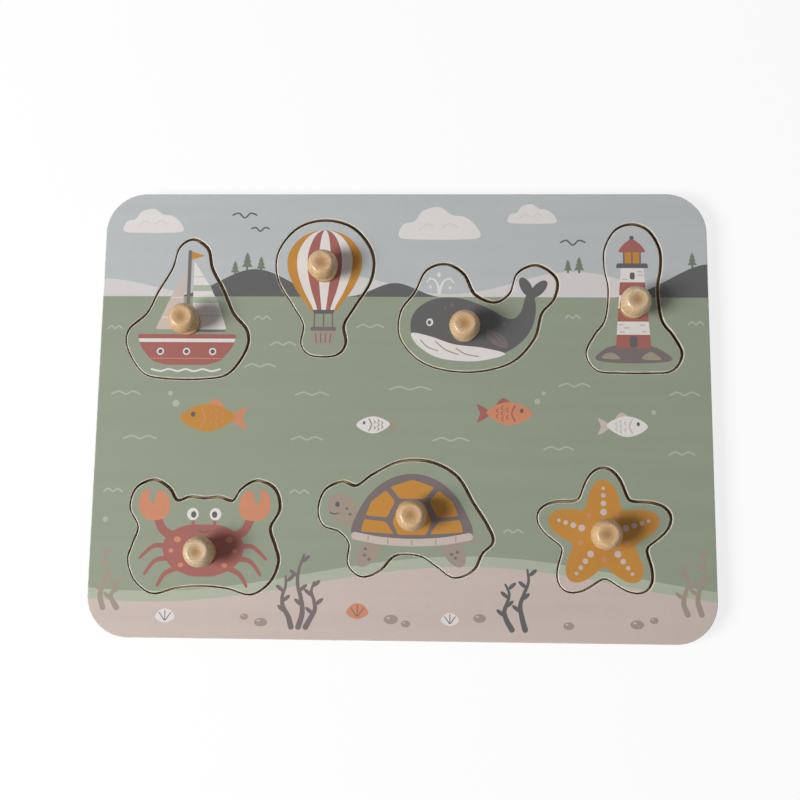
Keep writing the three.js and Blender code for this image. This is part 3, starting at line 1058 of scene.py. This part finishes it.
def draw_pine(art, x, y, height):
    art.start_motif()
    art.draw("taupe", rounded(rectangle(x - 0.5, y, x + 0.5, y + height / 3), 0.2))
    for low, high, half in ((0.18, 0.62, 0.3), (0.42, 0.82, 0.23), (0.64, 1, 0.16)):
        tier = [(-half, low), (half, low), (0, high)]
        art.draw("dark_sage", rounded(placed(tier, x, y, height, height), 0.5))


def wave_line(x, y, length):
    crests = [(-0.5, -0.5), (-0.25, 0.9), (0, -0.5), (0.25, 0.9), (0.5, -0.5)]
    return stroke(placed(crests, x, y, length, 1), 0.8)


def gull(x, y, span):
    wings = [
        (x - span, y + 1), (x - span / 2, y + span / 3), (x, y - 0.4), (x + span / 2, y + span / 3),
        (x + span, y + 1),
    ]
    return stroke(wings, 0.8)


def draw_board(art):
    clouds = [(-126, 94, 30), (18, 92, 40), (64, 98, 24)]
    curls = [[(-0.5, -0.06), (-0.34, 0.12), (-0.14, 0.06)], [(0.06, 0.02), (0.24, 0.14), (0.44, 0.04)]]
    pines = [
        (-84, 68, 7.5), (-78, 70.4, 9.5), (-71, 69.8, 8), (142.5, 72, 8), (81.5, 69.4, 7), (87, 69.2, 8.6),
    ]
    gulls = [(-80, 98, 6), (-72, 91, 4.4), (84, 84, 6)]
    waves = [
        (-136, 8, 14), (-70, 22, 15), (-44, 8, 16), (4, 11, 20), (84, 13, 15), (137, 9, 14), (-128, -14, 16),
        (24, -14, 17), (76, -18, 14), (-46, -14, 15), (135, -20, 12), (-140, -40, 9), (54, -58, 9),
        (-49, -40, 9), (-143, 41, 7), (-69.5, 46, 8), (-59, 33, 12), (-16, 42, 13), (83.5, 47, 7),
        (143.5, 44, 7),
    ]
    bubbles = [(-111, 3, 1.7), (-114, 8, 1.2), (66, 5, 1.4), (69, 9, 1), (122, 0, 1.2), (-143, -54, 1.3)]
    pebbles = [
        (-4, -100, 3.4, 2.2), (3, -102, 2.2, 1.6), (38, -99, 3, 2), (-66, -102, 3.2, 2), (-74, -99.5, 2, 1.5),
        (112, -101, 3.2, 2.1), (120, -99, 2, 1.5), (80, -102, 2.6, 1.8),
    ]
    art.draw("white", *(cloud(*place) for place in clouds))
    for x, y, size in clouds:
        art.draw("haze", *(stroke(placed(curl, x, y, size / 2, size / 2), 0.6) for curl in curls))
    for pine in pines:
        draw_pine(art, *pine)
    art.start_motif()
    for bird in gulls:
        art.draw("charcoal", gull(*bird))
    art.draw("pale_sage", *(wave_line(*wave) for wave in waves))
    draw_fish(art, -92, -4, 33, 1, "mustard", "coral")
    draw_fish(art, 50, -1, 27, -1, "coral", "terracotta")
    draw_fish(art, 107, -7, 24, -1, "white", "sand")
    draw_fish(art, -12, -7, 20, 1, "white", "leaf")
    art.draw("pale_sage", *(disc(*bubble, steps=24) for bubble in bubbles))
    draw_weed(art, -48, -104, 34, "taupe", [(-5, 0.7, -3), (0, 1, 1), (5, 0.62, 3)])
    draw_weed(art, 56, -104, 28, "charcoal", [(-4, 0.75, -2), (2, 1, 2)])
    draw_weed(art, 139, -96, 30, "leaf", [(-3, 0.8, -2), (3, 1, 1)])
    draw_weed(art, -139, -96, 28, "leaf", [(-3, 1, -0.6), (2, 0.5, 0)])
    draw_shell(art, -20, -98, 5.4, "coral")
    draw_shell(art, 24, -101, 4.4, "white")
    draw_shell(art, -112, -101, 4.8, "white")
    art.draw("leaf", *(ellipse(*pebble, steps=24) for pebble in pebbles))
    glints = []
    for x, y, half_width, half_height in pebbles:
        middle = (x - 0.35 * half_width, y + 0.35 * half_height)
        glints.append(ellipse(*middle, 0.28 * half_width, 0.2 * half_height, steps=20))
    art.draw("sand", *glints)


PICTURES = {
    "sailboat": draw_sailboat,
    "balloon": draw_balloon,
    "whale": draw_whale,
    "lighthouse": draw_lighthouse,
    "crab": draw_crab,
    "turtle": draw_turtle,
    "starfish": draw_starfish,
}


# The stage: floor, light and camera

def make_floor():
    """A white floor that keeps the shadow.

    Part of its white is a glow for camera, glossy and clear rays alone, so it lights nothing.
    """
    half = FLOOR_SIZE_M / 2
    corners = rectangle(-half, -half, half, half)
    mesh = bpy.data.meshes.new("floor")
    mesh.from_pydata([(x, y, FLOOR_HEIGHT * MM) for x, y in corners], [], [(0, 1, 2, 3)])
    shader = Shader("floor")
    shader.set("Base Color", FLOOR_COLOUR)
    shader.set("Roughness", 0.9)
    shader.set("Specular IOR Level", 0)
    x, y, _ = shader.place()
    square = shader.math("ADD", shader.math("MULTIPLY", x, x), shader.math("MULTIPLY", y, y))
    share = shader.remap(shader.math("SQRT", square), *FLOOR_FADE, FLOOR_GLOW, 1)
    lit = shader.surface.outputs[0]
    glow = shader.add("Emission", {"Strength": 1.0}).outputs[0]
    blend = shader.add("MixShader", {0: shader.math("MULTIPLY", shader.seen(), share), 1: lit, 2: glow})
    shader.put(shader.tree.nodes["Material Output"].inputs["Surface"], blend.outputs[0])
    mesh.materials.append(shader.material)
    floor = add_object("floor", mesh)


def make_world():
    """A faint light from all round, which camera, glossy and clear rays see as plain white."""
    world = bpy.data.worlds.new("studio")
    world.use_nodes = True
    nodes = Nodes(world.node_tree)
    background = nodes.tree.nodes["Background"].inputs
    nodes.put(background["Color"], (1, 1, 1, 1))
    nodes.put(background["Strength"], nodes.remap(nodes.seen(), 0, 1, WORLD_LIGHT, 1))
    bpy.context.scene.world = world


def make_light(name, azimuth, elevation, distance_m, size_m, power_w):
    """A square soft box that looks at the board's middle; its azimuth is counted from +X."""
    around, up = math.radians(azimuth), math.radians(elevation)
    towards = Vector((math.cos(around) * math.cos(up), math.sin(around) * math.cos(up), math.sin(up)))
    light = bpy.data.lights.new(name, "AREA")
    light.size = size_m
    light.energy = power_w
    box = add_object(name, light)
    box.location = towards * distance_m
    box.rotation_euler = (-towards).to_track_quat("-Z", "Y").to_euler()


def make_camera():
    data = bpy.data.cameras.new("camera")
    data.sensor_width = SENSOR_WIDTH
    data.lens = FOCAL_LENGTH
    data.clip_start = CAMERA_NEAR_LIMIT * MM
    to_camera = Matrix.Identity(3)
    for axis, degrees in zip("XYZ", CAMERA_TURN_DEGREES):
        to_camera = Matrix.Rotation(math.radians(degrees), 3, axis) @ to_camera
    camera = add_object("camera", data)
    camera.matrix_world = Matrix.Translation(Vector(CAMERA_PLACE) * MM) @ to_camera.transposed().to_4x4()
    bpy.context.scene.camera = camera


# The scene

make_camera()
make_backing_board()
make_frame_board()
board_art = Print("board")
draw_board(board_art)
board_art.finish()
for piece_name, draw_picture in PICTURES.items():
    make_piece(piece_name)
    make_knob(piece_name)
    make_screw(piece_name)
    piece_art = Print(piece_name, piece_middle(piece_name))
    draw_picture(piece_art)
    piece_art.finish()

make_floor()
make_world()
make_light("key", azimuth=198, elevation=40, distance_m=2.2, size_m=0.88, power_w=55)
make_light("fill", azimuth=60, elevation=60, distance_m=2, size_m=1.6, power_w=3)
bpy.context.scene.view_settings.view_transform = "Standard"
